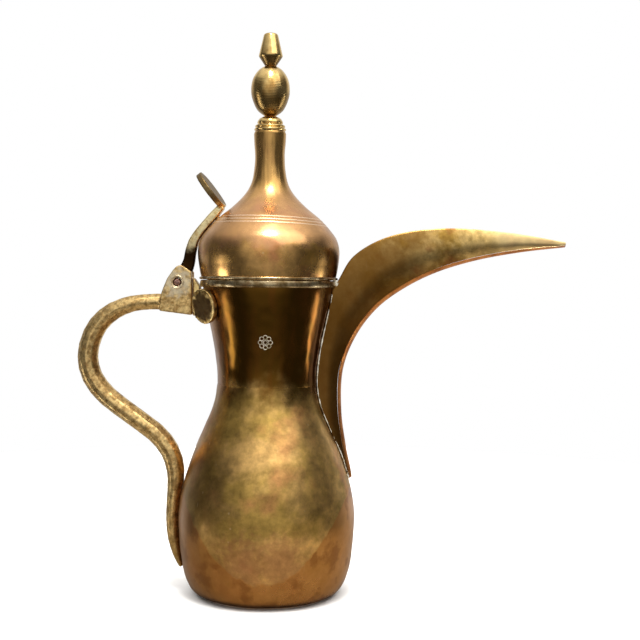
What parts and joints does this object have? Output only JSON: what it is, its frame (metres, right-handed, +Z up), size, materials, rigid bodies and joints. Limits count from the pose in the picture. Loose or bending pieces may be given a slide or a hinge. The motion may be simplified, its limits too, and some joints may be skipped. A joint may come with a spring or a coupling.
{
  "type": "dallah coffee pot",
  "caption": "Brass dallah coffee pot: waisted body, long open crescent beak, S-shaped handle, and a bell lid that hinges on the handle's fork.",
  "frame": {"origin": "centre of the flat foot, on the pot's own axis", "axes": "+Z up along the pot's axis, +X towards the beak, -X towards the handle"},
  "size_m": [0.287, 0.1038, 0.33],
  "materials": {
    "sheet_brass": "aged and darkened, satin, hammered sheet",
    "beak_brass": "aged sheet, brighter and yellower towards the beak's tip",
    "lid_brass": "aged sheet, worn bright at the shoulder",
    "cast_brass": "rough cast and filed, dull yellow",
    "turned_brass": "turned and polished, fine lathe rings",
    "tinned_brass": "worn tin over brass, grey-gold",
    "iron": "rusted dark iron"
  },
  "bodies": {
    "pot": {"body_bulb": "sheet_brass", "body_neck": "sheet_brass", "base_plate": "sheet_brass", "mouth_band": "tinned_brass", "spout_cheek_left": "beak_brass", "spout_cheek_right": "beak_brass", "spout_keel": "beak_brass", "handle": "cast_brass", "handle_saddle": "cast_brass", "hinge_pin": "iron"},
    "lid": {"lid_dome": "lid_brass", "lid_rim_wire": "tinned_brass", "lid_locating_ring": "lid_brass", "thumb_lever": "cast_brass", "lever_rivet_lower": "cast_brass", "lever_rivet_upper": "cast_brass", "finial_collar": "turned_brass", "finial_egg": "turned_brass", "finial_tip": "turned_brass", "finial_rod": "iron", "finial_washer": "tinned_brass"}
  },
  "joints": [
    {"name": "lid_hinge", "type": "hinge", "parent": "pot", "child": "lid", "pos_m": [-0.0534, 0, 0.1836], "axis": [0, -1, 0], "range_deg": [0, 115]}
  ]
}
